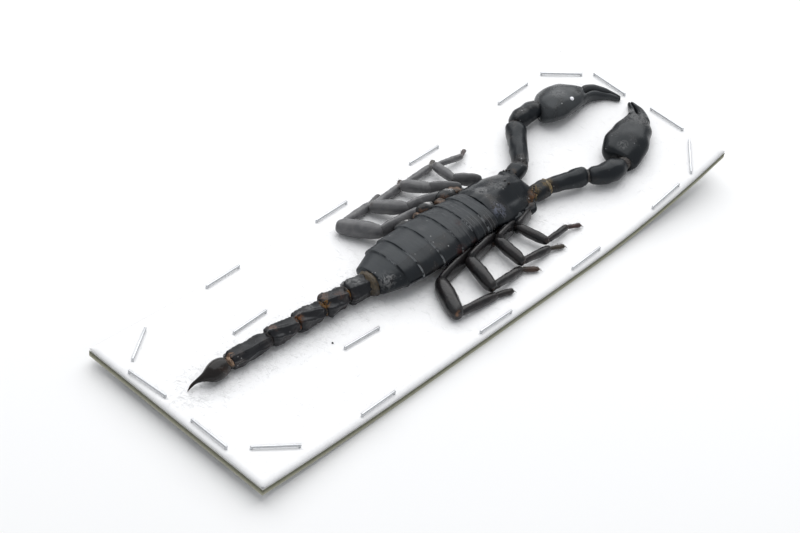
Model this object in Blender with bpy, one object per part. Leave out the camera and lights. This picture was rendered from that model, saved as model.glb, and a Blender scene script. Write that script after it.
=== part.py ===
"""A dried black forest scorpion, stapled to a bowed white card over a cotton pad.

Lengths are in millimetres here and become metres where a mesh is made. +Y runs along
the card towards the scorpion's head, +X to the scorpion's right, and +Z up. The
origin is under the middle of the card, on the surface that the card rests on.
"""
import math

import bmesh
import bpy
from mathutils import Vector

MM = 0.001
UP = Vector((0.0, 0.0, 1.0))
FORWARD = Vector((0.0, 1.0, 0.0))

# The air left between two pieces that touch.
GAP = 0.3

# The card and its cotton pad. The middle lies flat, and both ends curl up.
SHEET_WIDTH = 50.0
SHEET_LENGTH = 150.0
CARD_THICK = 1.4
PAD_THICK = 0.8
PAD_TOP = CARD_THICK + GAP + PAD_THICK
FLAT_HALF = 24.0
TAIL_END_CURL = 0.00073
HEAD_END_CURL = 0.00249

# Small office staples: a 9.6 mm crown and 5 mm legs of flat wire.
STAPLE_CROWN = 9.6
STAPLE_WIRE = 0.5
STAPLE_CLINCH = 2.6
STAPLE_RECESS = 0.05

# Centre of each crown on the pad and the way it points, in degrees from +X.
STAPLES = (
    (-9.5, -73.4, 5.0), (8.4, -73.5, 0.0), (19.1, -65.8, 54.0), (-19.2, -66.9, 123.0),
    (-23.7, -39.2, 92.0), (-23.6, -6.2, 91.0), (-23.7, 24.6, 90.0), (-23.7, 56.0, 87.0),
    (-9.9, -44.6, 93.0), (8.5, -30.1, 87.0), (23.8, -41.4, 91.0), (23.8, -4.9, 89.0),
    (23.8, 25.8, 91.0), (23.8, 54.5, 91.0), (20.3, 67.8, -50.0), (8.9, 73.4, -2.0),
    (-19.4, 68.6, 40.0), (-8.5, 73.4, -3.0),
)

# The rear edge of each of the seven back plates, tail first, and the first one's front.
PLATE_EDGES = (-18.8, -14.0, -9.8, -3.6, 2.5, 7.5, 11.8, 15.6)
PLATE_LEDGE = 0.2
PLATE_STEP = 0.35

# Place along the body, full width, height of the back, height of the belly.
ABDOMEN = (
    (-19.2, 6.8, 5.2, 0.9), (-18.8, 8.6, 5.8, 0.6), (-14.0, 12.8, 7.2, 0.3),
    (-9.8, 14.0, 7.5, 0.3), (-3.6, 14.8, 7.7, 0.3), (2.5, 14.5, 7.6, 0.3),
    (7.5, 14.0, 7.5, 0.3), (15.6, 13.4, 7.3, 0.4),
)
CARAPACE = (
    (15.9, 12.6, 6.9, 0.6), (16.6, 13.6, 7.4, 0.4), (19.5, 13.8, 7.6, 0.4),
    (23.0, 13.2, 7.5, 0.4), (26.5, 11.8, 7.0, 0.5), (28.5, 10.8, 6.5, 0.8),
    (28.9, 10.6, 6.4, 3.3), (30.4, 9.8, 5.8, 3.4), (31.2, 8.4, 5.2, 3.8),
)

# Joints of the tail from the abdomen back, and each segment's widest part.
TAIL_JOINTS = (
    (-0.2, -19.6, 3.2), (-1.1, -25.4, 3.0), (-1.4, -32.2, 2.8), (-1.7, -39.6, 2.7),
    (-2.3, -47.0, 2.6), (-2.4, -58.0, 2.5),
)
TAIL_WIDTHS = (5.9, 5.4, 5.0, 4.7, 4.4)
TAIL_HEIGHT = 0.92

# The poison bulb and its curved sting: places from the tail back, and the width there.
STINGER = (
    ((-2.4, -58.4, 2.5), 2.4), ((-2.4, -59.3, 2.5), 3.8), ((-2.3, -61.2, 2.4), 4.4),
    ((-2.2, -63.2, 2.4), 3.5), ((-2.5, -64.8, 2.2), 2.0), ((-3.0, -66.3, 1.7), 1.1),
    ((-3.1, -67.5, 1.1), 0.7), ((-2.8, -68.7, 0.5), 0.3),
)

# The legs, front pair first: body, hip, knee, patella's end, tibia's end, tip.
RIGHT_LEGS = (
    ((5.0, 27.2, 1.3), (6.8, 25.8, 1.8), (8.8, 19.4, 3.0), (15.6, 21.4, 2.3),
     (14.9, 29.3, 1.4), (16.2, 32.6, 0.9)),
    ((5.2, 21.4, 1.2), (7.2, 19.8, 1.8), (8.9, 12.5, 3.2), (16.5, 11.9, 2.5),
     (16.9, 20.9, 1.3), (18.2, 24.4, 0.9)),
    ((5.2, 15.4, 1.1), (6.7, 13.8, 1.6), (9.1, 2.8, 3.2), (17.6, 0.6, 2.5),
     (17.1, 10.8, 1.2), (19.3, 14.2, 0.9)),
    ((4.8, 9.4, 1.0), (6.1, 7.6, 1.2), (9.0, -6.4, 2.2), (17.8, -11.0, 2.0),
     (18.9, 0.2, 1.2), (20.2, 4.5, 0.9)),
)
LEFT_LEGS = (
    ((-4.8, 27.0, 1.3), (-7.8, 25.4, 2.6), (-11.4, 20.5, 3.4), (-17.7, 21.3, 2.7),
     (-16.9, 29.7, 1.4), (-18.2, 32.2, 1.0)),
    ((-5.0, 21.4, 1.2), (-8.6, 19.4, 2.9), (-12.7, 14.0, 3.4), (-17.8, 10.3, 2.7),
     (-19.1, 21.6, 1.2), (-20.3, 23.8, 0.9)),
    ((-5.0, 16.2, 1.1), (-9.0, 14.8, 3.0), (-11.3, 4.7, 3.6), (-17.4, 0.2, 2.3),
     (-18.8, 10.8, 1.2), (-20.4, 12.8, 0.9)),
    ((-5.0, 9.8, 1.0), (-8.7, 7.8, 2.9), (-9.9, -5.3, 3.1), (-17.8, -9.8, 2.0),
     (-18.9, 0.8, 1.2), (-20.0, 5.2, 0.9)),
)
# Trochanter, femur, patella, tibia and tarsus of each pair.
LEG_WIDTHS = (
    (1.3, 2.0, 2.2, 1.5, 1.0),
    (1.4, 2.2, 2.7, 1.8, 1.1),
    (1.4, 2.3, 3.1, 2.0, 1.2),
    (1.4, 2.4, 3.7, 2.1, 1.3),
)
# The height of each of those articles as a share of its width.
LEG_HEIGHTS = (1.0, 1.3, 1.05, 1.0, 0.9)

# The arms: coxa under the head, trochanter, and both ends of the femur.
LEFT_ARM = ((-3.9, 29.5, 1.8), (-3.6, 31.9, 2.4), (-4.4, 35.9, 3.0), (-13.8, 44.8, 3.3))
RIGHT_ARM = ((3.9, 29.4, 1.8), (3.4, 31.4, 2.4), (4.2, 34.8, 2.9), (7.9, 43.9, 3.1))
LEFT_ARM_WIDTHS = (2.2, 4.3, 4.9)
RIGHT_ARM_WIDTHS = (2.2, 4.5, 4.5)
ARM_HEIGHTS = (0.9, 0.9, 0.92)

# The forearms: places along the middle and the full width there.
LEFT_FOREARM = (
    ((-14.4, 45.6, 3.3), 3.4), ((-14.8, 46.6, 3.3), 4.4), ((-14.9, 48.8, 3.3), 4.8),
    ((-15.0, 51.2, 3.3), 4.3), ((-14.9, 52.6, 3.3), 3.5), ((-14.7, 53.2, 3.3), 2.7),
)
RIGHT_FOREARM = (
    ((8.8, 44.7, 3.1), 3.2), ((9.7, 45.8, 3.1), 4.4), ((11.2, 48.6, 3.1), 5.3),
    ((11.6, 51.2, 3.1), 5.1), ((11.7, 52.6, 3.1), 3.8), ((11.7, 53.2, 3.1), 2.6),
)

# Each claw seen from above, wrist first: a place on its inner edge, the place across
# from it on its outer edge, and the height there.
LEFT_PALM = (
    ((-13.2, 53.2), (-16.3, 54.6), 3.4), ((-11.6, 51.8), (-17.4, 56.2), 4.5),
    ((-9.5, 52.3), (-17.3, 58.5), 5.6), ((-7.9, 54.4), (-16.5, 61.6), 6.0),
    ((-7.4, 57.2), (-14.8, 63.6), 5.5), ((-7.5, 60.0), (-12.8, 64.8), 4.8),
    ((-7.6, 62.1), (-11.4, 65.8), 4.2),
)
RIGHT_PALM = (
    ((10.3, 53.8), (13.0, 54.3), 3.2), ((7.0, 52.6), (14.1, 55.0), 4.3),
    ((4.7, 54.1), (14.1, 57.6), 5.4), ((3.4, 57.2), (13.0, 60.8), 5.8),
    ((2.8, 60.4), (11.5, 63.4), 5.3), ((2.8, 63.0), (9.9, 65.8), 4.6),
    ((2.5, 64.9), (8.5, 67.1), 4.1),
)
# The fingers: inner edge, the line where the two meet, outer edge, and the height.
LEFT_FINGERS = (
    ((-7.7, 62.6), (-9.4, 64.4), (-11.3, 66.3), 3.9),
    ((-7.7, 65.1), (-8.8, 66.7), (-10.1, 68.4), 3.2),
    ((-6.8, 67.2), (-7.5, 68.3), (-8.5, 69.6), 2.5),
    ((-5.3, 68.9), (-5.8, 69.7), (-6.4, 70.5), 1.8),
    ((-2.8, 70.4), (-3.1, 70.8), (-3.4, 71.2), 1.0),
)
RIGHT_FINGERS = (
    ((2.5, 65.5), (4.9, 66.5), (8.1, 67.7), 3.7),
    ((2.1, 66.8), (3.9, 67.8), (6.4, 69.1), 3.1),
    ((1.3, 68.2), (2.6, 69.2), (4.3, 70.4), 2.4),
    ((0.4, 69.4), (1.2, 70.2), (2.2, 71.1), 1.7),
    ((-0.9, 70.8), (-0.6, 71.2), (-0.2, 71.5), 1.0),
)
CLAW_FLOOR = 0.4

# Base colour, roughness and metallic value of each finish.
FINISHES = {
    "card": ((0.80, 0.80, 0.76), 0.85, 0.0),
    "cotton": ((0.88, 0.88, 0.89), 1.0, 0.0),
    "steel": ((0.55, 0.56, 0.57), 0.35, 1.0),
    "cuticle": ((0.022, 0.024, 0.027), 0.30, 0.0),
    "leg_cuticle": ((0.018, 0.017, 0.019), 0.32, 0.0),
    "sting": ((0.030, 0.017, 0.010), 0.22, 0.0),
}


def clear_scene():
    for old in list(bpy.data.objects):
        bpy.data.objects.remove(old, do_unlink=True)


def curl(y):
    """How far the card has risen at a place along it, and how steeply it rises there."""
    beyond = max(abs(y) - FLAT_HALF, 0.0)
    rate = HEAD_END_CURL if y > 0.0 else TAIL_END_CURL
    return rate * beyond * beyond, math.copysign(2.0 * rate * beyond, y)


def on_pad(x, y, height):
    return Vector((x, y, PAD_TOP + curl(y)[0] + height))


def paint(thing, finish):
    """Give the object a material of its own in one of the finishes."""
    colour, roughness, metallic = FINISHES[finish]
    material = bpy.data.materials.new(thing.name + "_" + finish)
    material.use_nodes = True
    shader = material.node_tree.nodes["Principled BSDF"]
    shader.inputs["Base Color"].default_value = (*colour, 1.0)
    shader.inputs["Roughness"].default_value = roughness
    shader.inputs["Metallic"].default_value = metallic
    thing.data.materials.append(material)


def add_loft(name, rings, finish, sharp_angle=40.0):
    """A closed solid skinned over rings that all have the same number of points."""
    shape = bmesh.new()
    loops = [[shape.verts.new(point * MM) for point in ring] for ring in rings]
    for first, second in zip(loops, loops[1:]):
        for here in range(len(first)):
            after = (here + 1) % len(first)
            shape.faces.new((first[here], first[after], second[after], second[here]))
    shape.faces.new(reversed(loops[0]))
    shape.faces.new(loops[-1])
    bmesh.ops.recalc_face_normals(shape, faces=shape.faces)
    mesh = bpy.data.meshes.new(name)
    shape.to_mesh(mesh)
    shape.free()
    mesh.shade_smooth()
    mesh.set_sharp_from_angle(angle=math.radians(sharp_angle))
    thing = bpy.data.objects.new(name, mesh)
    bpy.context.scene.collection.objects.link(thing)
    paint(thing, finish)
    return thing


def round_section(sides):
    turns = [math.tau * (step + 0.5) / sides for step in range(sides)]
    return [(math.cos(turn), math.sin(turn)) for turn in turns]


def keeled_section():
    """A tail ring: six lengthwise keels with shallow hollows between them."""
    section = []
    for step in range(12):
        turn = math.tau * step / 12 + math.radians(15.0)
        reach = 1.0 if step % 2 else 0.86
        section.append((reach * math.cos(turn), reach * math.sin(turn)))
    return section


def body_section(sides=18):
    """The body's half round back over a belly that tapers in like a boat."""
    section = []
    for step in range(sides):
        turn = math.tau * (step + 0.5) / sides
        across, rise = math.cos(turn), math.sin(turn)
        power = (0.85, 0.85) if rise > 0.0 else (1.45, 1.45)
        section.append((math.copysign(abs(across) ** power[0], across),
                        math.copysign(abs(rise) ** power[1], rise)))
    return section


ROUND_8 = round_section(8)
ROUND_10 = round_section(10)
ROUND_12 = round_section(12)
KEELED = keeled_section()
BODY = body_section()


def ring_across(centre, direction, width, height, section):
    """Points of a section held square to a direction, with its height upright."""
    side = direction.cross(UP).normalized()
    lift = side.cross(direction).normalized()
    return [centre + side * (width / 2 * x) + lift * (height / 2 * z) for x, z in section]


def body_ring(y, width, back, belly):
    """A ring of the body: widest just above half height, over the pad's flat middle."""
    widest = belly + 0.52 * (back - belly)
    ring = []
    for x, z in BODY:
        reach = back - widest if z > 0.0 else widest - belly
        ring.append(Vector((width / 2 * x, y, PAD_TOP + widest + reach * z)))
    return ring


def body_size(y):
    """Width, back height and belly height of the abdomen, read between its stations."""
    for near, far in zip(ABDOMEN, ABDOMEN[1:]):
        if y <= far[0]:
            share = (y - near[0]) / (far[0] - near[0])
            return [a + share * (b - a) for a, b in zip(near[1:], far[1:])]
    return list(ABDOMEN[-1][1:])


def plate_ring(y, ledge):
    width, back, belly = body_size(y)
    return body_ring(y, width + 2 * ledge, back + ledge, belly)


def add_abdomen():
    """Seven plates in one skin: each plate's rear edge stands over the plate behind."""
    rings = [body_ring(*ABDOMEN[0])]
    for rear, front in zip(PLATE_EDGES, PLATE_EDGES[1:]):
        rings.append(plate_ring(rear, PLATE_LEDGE))
        rings.append(plate_ring((rear + front) / 2, 0.0))
        rings.append(plate_ring(front - PLATE_STEP, -PLATE_LEDGE))
    add_loft("abdomen", rings, "cuticle", 25.0)


def add_carapace():
    add_loft("carapace", [body_ring(*station) for station in CARAPACE], "cuticle")


def add_jaws():
    """The two short pincers of the mouth, tucked under the carapace's front edge."""
    for name, side in (("chelicera_left", -1.0), ("chelicera_right", 1.0)):
        rings = []
        for y, x, width in ((29.3, 1.3, 1.6), (29.9, 1.3, 2.0), (31.1, 1.3, 2.0), (32.1, 1.0, 1.1)):
            centre = on_pad(side * x, y, 1.8)
            rings.append(ring_across(centre, FORWARD, width, width, ROUND_8))
        add_loft(name, rings, "cuticle")


def add_tail():
    """Five keeled segments, each narrow in front and swollen towards its rear end."""
    swell = ((0.12, 0.84), (0.45, 0.94), (0.80, 1.0), (0.92, 0.90))
    joints = [on_pad(*joint) for joint in TAIL_JOINTS]
    ways = [(rear - front).normalized() for front, rear in zip(joints, joints[1:])]
    turns = [ways[0]] + [(a + b).normalized() for a, b in zip(ways, ways[1:])] + [ways[-1]]
    for number, width in enumerate(TAIL_WIDTHS, start=1):
        front, rear, way = joints[number - 1], joints[number], ways[number - 1]
        neck = width * 0.62
        rings = [ring_across(front + way * GAP / 2, turns[number - 1], neck, neck * TAIL_HEIGHT, KEELED)]
        for share, size in swell:
            centre = front.lerp(rear, share)
            rings.append(ring_across(centre, way, width * size, width * size * TAIL_HEIGHT, KEELED))
        rings.append(ring_across(rear - way * GAP / 2, turns[number], neck, neck * TAIL_HEIGHT, KEELED))
        add_loft("tail_segment_%d" % number, rings, "cuticle", 30.0)


def route_rings(route, section, depth=1.0):
    """Rings along a smooth route of places, each with its own width."""
    places = [on_pad(*place) for place, _ in route]
    rings = []
    for index, (_, width) in enumerate(route):
        before = places[max(index - 1, 0)]
        after = places[min(index + 1, len(places) - 1)]
        way = (after - before).normalized()
        rings.append(ring_across(places[index], way, width, width * depth, section))
    return rings


def add_stinger():
    add_loft("stinger", route_rings(STINGER, ROUND_10), "sting")


def limb_rings(joints, widths, heights, swell, section, tip=0.45):
    """Rings along a jointed limb whose articles swell between pinched joints."""
    pinch = 0.6
    places = [on_pad(*joint) for joint in joints]
    ways = [(end - start).normalized() for start, end in zip(places, places[1:])]
    rings = [ring_across(places[0], ways[0], widths[0] * pinch, widths[0] * pinch, section)]
    for index, way in enumerate(ways):
        for share, size in swell:
            centre = places[index].lerp(places[index + 1], share)
            width = widths[index] * size
            rings.append(ring_across(centre, way, width, width * heights[index], section))
        if index + 1 < len(ways):
            turn = (way + ways[index + 1]).normalized()
            width = min(widths[index], widths[index + 1]) * pinch
            rings.append(ring_across(places[index + 1], turn, width, width, section))
    width = widths[-1] * tip
    rings.append(ring_across(places[-1], ways[-1], width, width, section))
    return rings


def add_legs():
    swell = ((0.16, 0.82), (0.5, 1.0), (0.86, 0.78))
    for side, legs in (("left", LEFT_LEGS), ("right", RIGHT_LEGS)):
        for number, joints in enumerate(legs, start=1):
            rings = limb_rings(joints, LEG_WIDTHS[number - 1], LEG_HEIGHTS, swell, ROUND_8)
            add_loft("leg_%s_%d" % (side, number), rings, "leg_cuticle")


def add_arm(side, arm, widths, forearm):
    swell = ((0.16, 0.78), (0.5, 0.88), (0.86, 1.0))
    rings = limb_rings(arm, widths, ARM_HEIGHTS, swell, ROUND_10, tip=0.7)
    add_loft("arm_%s" % side, rings, "cuticle")
    add_loft("forearm_%s" % side, route_rings(forearm, ROUND_10, 0.88), "cuticle")


def claw_ring(inner, outer, height):
    """A ring of a claw standing over the line between its inner and outer edges."""
    centre = on_pad((inner[0] + outer[0]) / 2, (inner[1] + outer[1]) / 2, CLAW_FLOOR + height / 2)
    half_across = Vector((outer[0] - inner[0], outer[1] - inner[1], 0.0)) / 2
    half_up = UP * (height / 2)
    return [centre + half_across * x + half_up * z for x, z in ROUND_12]


def shift_towards(place, goal, distance):
    step = (Vector(goal) - Vector(place)).normalized() * distance
    return Vector(place) + step


def add_claw(side, palm, fingers):
    """The hand with its fixed finger, and the movable finger lying along it."""
    hand = [claw_ring(*station) for station in palm]
    finger = []
    for inner, middle, outer, height in fingers:
        hand.append(claw_ring(inner, shift_towards(middle, inner, GAP / 2), height))
        finger.append(claw_ring(shift_towards(middle, outer, GAP / 2), outer, height))
    # The movable finger's base keeps clear of the palm.
    finger[0] = [start.lerp(end, 0.25) for start, end in zip(finger[0], finger[1])]
    add_loft("hand_%s" % side, hand, "cuticle", 50.0)
    add_loft("finger_%s" % side, finger, "cuticle", 50.0)


def add_sheet(name, bottom, thickness, finish, cutter):
    """A bowed sheet, cut through where the staples pass."""
    stations = [-FLAT_HALF, FLAT_HALF]
    curled = (SHEET_LENGTH / 2 - FLAT_HALF) / 6
    for step in range(1, 7):
        stations.append(FLAT_HALF + step * curled)
        stations.append(-FLAT_HALF - step * curled)
    half = SHEET_WIDTH / 2
    rings = []
    for y in sorted(stations):
        low = bottom + curl(y)[0]
        high = low + thickness
        corners = ((-half, low), (half, low), (half, high), (-half, high))
        rings.append([Vector((x, y, z)) for x, z in corners])
    sheet = add_loft(name, rings, finish, 30.0)
    holes = sheet.modifiers.new("staple_holes", "BOOLEAN")
    holes.operation = "DIFFERENCE"
    holes.solver = "EXACT"
    holes.object = cutter


def staple_frame(x, y, heading):
    """The crown's middle on the pad, its way along, its way across, and straight up."""
    rise, slope = curl(y)
    lift = Vector((0.0, -slope, 1.0)).normalized()
    turn = math.radians(heading)
    along = Vector((math.cos(turn), math.sin(turn), 0.0))
    along = (along - lift * along.dot(lift)).normalized()
    return Vector((x, y, PAD_TOP + rise)), along, lift.cross(along), lift


STAPLE_TOP = GAP + STAPLE_WIRE / 2


def staple_foot(lift):
    """Depth of the clinched ends' middle, just inside the card's underside."""
    return -PAD_TOP * lift.z + STAPLE_RECESS + STAPLE_WIRE / 2


def add_staple(name, x, y, heading):
    """One wire: clinched end, leg, crown, leg, clinched end."""
    centre, along, across, lift = staple_frame(x, y, heading)
    half = STAPLE_CROWN / 2
    foot = staple_foot(lift)
    route = ((STAPLE_CLINCH - half, foot), (-half, foot), (-half, STAPLE_TOP),
             (half, STAPLE_TOP), (half, foot), (half - STAPLE_CLINCH, foot))
    places = [centre + along * a + lift * b for a, b in route]
    rings = []
    for index, place in enumerate(places):
        before = places[max(index - 1, 0)]
        after = places[min(index + 1, len(places) - 1)]
        way = ((place - before).normalized() + (after - place).normalized()).normalized()
        corner = 0 < index < len(places) - 1
        reach = STAPLE_WIRE / 2 * (math.sqrt(2.0) if corner else 1.0)
        out = across.cross(way).normalized()
        sides = ((-1, -1), (1, -1), (1, 1), (-1, 1))
        rings.append([place + across * (STAPLE_WIRE / 2 * s) + out * (reach * t) for s, t in sides])
    add_loft(name, rings, "steel", 30.0)


def add_staple_cutter():
    """For every staple, a hole for each leg and a pocket for its clinched ends."""
    shape = bmesh.new()
    room = STAPLE_WIRE / 2 + GAP
    outer = STAPLE_CROWN / 2 + room
    inner = STAPLE_CROWN / 2 - room
    for x, y, heading in STAPLES:
        centre, along, across, lift = staple_frame(x, y, heading)
        pocket = staple_foot(lift) + room
        below = -PAD_TOP - 1.0
        above = STAPLE_TOP + 1.0
        outline = ((-outer, below), (outer, below), (outer, above), (inner, above),
                   (inner, pocket), (-inner, pocket), (-inner, above), (-outer, above))
        start = centre - across * room
        corners = [shape.verts.new((start + along * a + lift * b) * MM) for a, b in outline]
        face = shape.faces.new(corners)
        grown = bmesh.ops.extrude_face_region(shape, geom=[face])
        moved = [part for part in grown["geom"] if isinstance(part, bmesh.types.BMVert)]
        bmesh.ops.translate(shape, verts=moved, vec=across * (2 * room * MM))
    bmesh.ops.recalc_face_normals(shape, faces=shape.faces)
    mesh = bpy.data.meshes.new("staple_cutter")
    shape.to_mesh(mesh)
    shape.free()
    cutter = bpy.data.objects.new("staple_cutter", mesh)
    bpy.context.scene.collection.objects.link(cutter)
    cutter.hide_render = True
    cutter.display_type = "WIRE"
    return cutter


def main():
    clear_scene()
    cutter = add_staple_cutter()
    add_sheet("backing_card", 0.0, CARD_THICK, "card", cutter)
    add_sheet("cotton_pad", CARD_THICK + GAP, PAD_THICK, "cotton", cutter)
    for number, staple in enumerate(STAPLES, start=1):
        add_staple("staple_%02d" % number, *staple)
    add_abdomen()
    add_carapace()
    add_jaws()
    add_tail()
    add_stinger()
    add_legs()
    add_arm("left", LEFT_ARM, LEFT_ARM_WIDTHS, LEFT_FOREARM)
    add_arm("right", RIGHT_ARM, RIGHT_ARM_WIDTHS, RIGHT_FOREARM)
    add_claw("left", LEFT_PALM, LEFT_FINGERS)
    add_claw("right", RIGHT_PALM, RIGHT_FINGERS)


main()
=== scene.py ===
"""The looks of a dried black forest scorpion, stapled to a bowed card over cotton."""
import math

import bmesh
import bpy
import numpy as np
from mathutils import Matrix, Vector, noise


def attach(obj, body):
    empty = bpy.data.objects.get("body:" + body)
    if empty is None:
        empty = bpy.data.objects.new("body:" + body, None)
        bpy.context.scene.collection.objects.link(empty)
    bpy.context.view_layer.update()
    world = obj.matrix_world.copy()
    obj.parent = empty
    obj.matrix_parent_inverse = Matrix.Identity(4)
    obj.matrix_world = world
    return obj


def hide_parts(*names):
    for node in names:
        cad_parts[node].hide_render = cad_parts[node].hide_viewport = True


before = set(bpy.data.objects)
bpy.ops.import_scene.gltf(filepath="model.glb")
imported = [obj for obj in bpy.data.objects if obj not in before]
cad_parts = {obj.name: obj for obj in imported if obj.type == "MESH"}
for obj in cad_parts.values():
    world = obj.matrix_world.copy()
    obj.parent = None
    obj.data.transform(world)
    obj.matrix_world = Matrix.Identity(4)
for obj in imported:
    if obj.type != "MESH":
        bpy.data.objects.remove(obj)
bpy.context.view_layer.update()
MM = 0.001
UP = Vector((0.0, 0.0, 1.0))

# The card is one sheet of stout white board. Its ends have bowed up with age, and its
# cut edges show the grey-green pulp between the white faces, with painted shade darkening
# the top of each edge under the pad's rim. It keeps its solid's shape.
HALF_WIDTH = 25.0
HALF_LENGTH = 75.0
FLAT_HALF = 24.0
TAIL_END_CURL = 0.00073
HEAD_END_CURL = 0.00249
EDGE_SHADE_TOP = 1.15


def plug(sockets, values):
    """Gives each named socket its reading or its plain value."""
    for name, value in values.items():
        if isinstance(value, Reading):
            value.tree.links.new(value.socket, sockets[name])
        else:
            sockets[name].default_value = value


class Reading:
    """A value in a material that is added and multiplied like a number."""

    def __init__(self, tree, socket=None):
        self.tree = tree
        self.socket = socket

    def make(self, kind, settings, sockets, out=0):
        node = self.tree.nodes.new(kind)
        for key, value in settings.items():
            setattr(node, key, value)
        plug(node.inputs, sockets)
        return Reading(self.tree, node.outputs[out])

    def calculate(self, operation, first, second):
        return self.make("ShaderNodeMath", {"operation": operation}, {0: first, 1: second})

    def __add__(self, other):
        return self.calculate("ADD", self, other)

    def __sub__(self, other):
        return self.calculate("SUBTRACT", self, other)

    def __rsub__(self, other):
        return self.calculate("SUBTRACT", other, self)

    def __mul__(self, other):
        return self.calculate("MULTIPLY", self, other)

    def __abs__(self):
        return self.calculate("ABSOLUTE", self, 0.0)

    __radd__ = __add__
    __rmul__ = __mul__

    def step(self, low, high):
        """From 0 at low to 1 at high, eased at both ends."""
        return self.make("ShaderNodeMapRange", {"interpolation_type": "SMOOTHSTEP"},
                         {"Value": self, "From Min": low, "From Max": high})

    def noise(self, scale, detail=3.0, distortion=0.0):
        return self.make("ShaderNodeTexNoise", {},
                         {"Vector": self, "Scale": scale, "Detail": detail, "Distortion": distortion})

    def mix(self, first, second, factor):
        """The first colour where the factor is 0, and the second where it is 1."""
        first, second = [colour if isinstance(colour, Reading) else (*colour, 1.0) for colour in (first, second)]
        return self.make("ShaderNodeMix", {"data_type": "RGBA"}, {0: factor, 6: first, 7: second}, 2)

    def blend(self, factor, colour):
        """This colour, going over to another where the factor is 1."""
        return self.mix(self, colour, factor)

    def axis(self, name):
        """How far a place is along X, Y or Z, in metres."""
        return self.make("ShaderNodeSeparateXYZ", {}, {"Vector": self}, name)

    def near(self, spot, core, reach):
        """1 within a core round a spot, falling to 0 at a reach, both in millimetres."""
        gap = self.make("ShaderNodeVectorMath", {"operation": "DISTANCE"}, {0: self, 1: tuple(spot)}, "Value")
        return 1.0 - gap.step(core * MM, reach * MM)


def new_material(name):
    """A material, where its places are read, and its shader."""
    material = bpy.data.materials.new(name)
    material.use_nodes = True
    tree = material.node_tree
    shader = tree.nodes["Principled BSDF"]
    places = Reading(tree).make("ShaderNodeTexCoord", {}, {}, "Object")
    return material, places, shader


def give(piece, material):
    piece.data.materials.clear()
    piece.data.materials.append(material)


def bumps(places, shader, height, strength, depth):
    """Raises the surface by a height, in a depth given in millimetres."""
    bump = places.make("ShaderNodeBump", {}, {"Height": height, "Strength": strength, "Distance": depth * MM})
    plug(shader.inputs, {"Normal": bump})


def card_material():
    material, places, shader = new_material("white_board")
    along = places.axis("Y")
    side = abs(places.axis("X")).step((HALF_WIDTH - 0.1) * MM, (HALF_WIDTH - 0.02) * MM)
    end = abs(along).step((HALF_LENGTH - 0.1) * MM, (HALF_LENGTH - 0.02) * MM)
    edge = side.calculate("MAXIMUM", side, end)
    pulp = places.noise(2200.0, 5.0)
    face = places.mix((0.80, 0.80, 0.79), (0.74, 0.74, 0.72), pulp)
    beyond = along.calculate("MAXIMUM", abs(along) - FLAT_HALF * MM, 0.0)
    headward = along.step(-MM, MM) * ((HEAD_END_CURL - TAIL_END_CURL) / MM)
    level = places.axis("Z") - beyond * beyond * (TAIL_END_CURL / MM + headward)
    # Painted shade: the cut edge is darkest at its top, under the pad's rim, and lighter towards the table.
    cut = places.mix((0.42, 0.41, 0.31), (0.105, 0.105, 0.062), level.step(0.0, EDGE_SHADE_TOP * MM))
    cut = cut.blend(pulp.step(0.4, 0.7) * 0.25, (0.45, 0.44, 0.36))
    plug(shader.inputs, {"Base Color": face.blend(edge, cut), "Roughness": 0.8})
    bumps(places, shader, pulp, 0.25, 0.1)
    return material


give(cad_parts["backing_card"], card_material())

# The cotton pad is a thin layer of pressed cotton wool with the card's outline. Each
# staple pulls a dimple into it, and short loose fibres stand up all over it and
# thickest round the specimen that was laid on it.
PAD_GRID = (92, 276)
PAD_FLOOR = 1.43
PAD_TOP = 2.5
PAD_THICK = 1.05
RIM_WIDTH = 1.3
RIM_DROP = 0.6
FIBRE_COUNT = 9000
FIBRE_WIDTH = 0.05
FIBRE_MARGIN = 1.6
STAPLES = (
    (-9.5, -73.4, 5.0), (8.4, -73.5, 0.0), (19.1, -65.8, 54.0), (-19.2, -66.9, 123.0), (-23.7, -39.2, 92.0),
    (-23.6, -6.2, 91.0), (-23.7, 24.6, 90.0), (-23.7, 56.0, 87.0), (-9.9, -44.6, 93.0), (8.5, -30.1, 87.0),
    (23.8, -41.4, 91.0), (23.8, -4.9, 89.0), (23.8, 25.8, 91.0), (23.8, 54.5, 91.0), (20.3, 67.8, -50.0),
    (8.9, 73.4, -2.0), (-19.4, 68.6, 40.0), (-8.5, 73.4, -3.0),
)
STAPLE_HALF = 4.8


def curl(y):
    """How far the card has risen at a place along it."""
    beyond = max(abs(y) - FLAT_HALF, 0.0)
    return (HEAD_END_CURL if y > 0.0 else TAIL_END_CURL) * beyond * beyond


def on_pad(x, y, height):
    return Vector((x, y, PAD_TOP + curl(y) + height)) * MM


def staple_reach(x, y, staple):
    """Distance from a place to a staple's crown, and to the nearer of its two ends."""
    turn = math.radians(staple[2])
    along = (x - staple[0]) * math.cos(turn) + (y - staple[1]) * math.sin(turn)
    across = (y - staple[1]) * math.cos(turn) - (x - staple[0]) * math.sin(turn)
    beyond = max(abs(along) - STAPLE_HALF, 0.0)
    return math.hypot(beyond, across), math.hypot(abs(along) - STAPLE_HALF, across)


def bell(gap, spread):
    """1 where the gap is 0, falling smoothly to 0 on both sides."""
    return math.exp(-gap * gap / spread)


def pad_rise(x, y):
    """The cotton's own height over its pressed level, in millimetres."""
    rise = 0.14 + 0.07 * noise.noise(Vector((x * 0.16, y * 0.16, 0.0)))
    rise += 0.02 * noise.noise(Vector((x * 0.9, y * 0.9, 5.0)))
    for staple in STAPLES:
        crown, end = staple_reach(x, y, staple)
        if crown < 4.0:
            rise -= 0.22 * bell(crown, 0.8)
            rise += 0.07 * bell(crown - 1.6, 0.5)
        if end < 3.0:
            rise -= 0.16 * bell(end, 0.35)
    return max(rise, -0.05)


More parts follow.
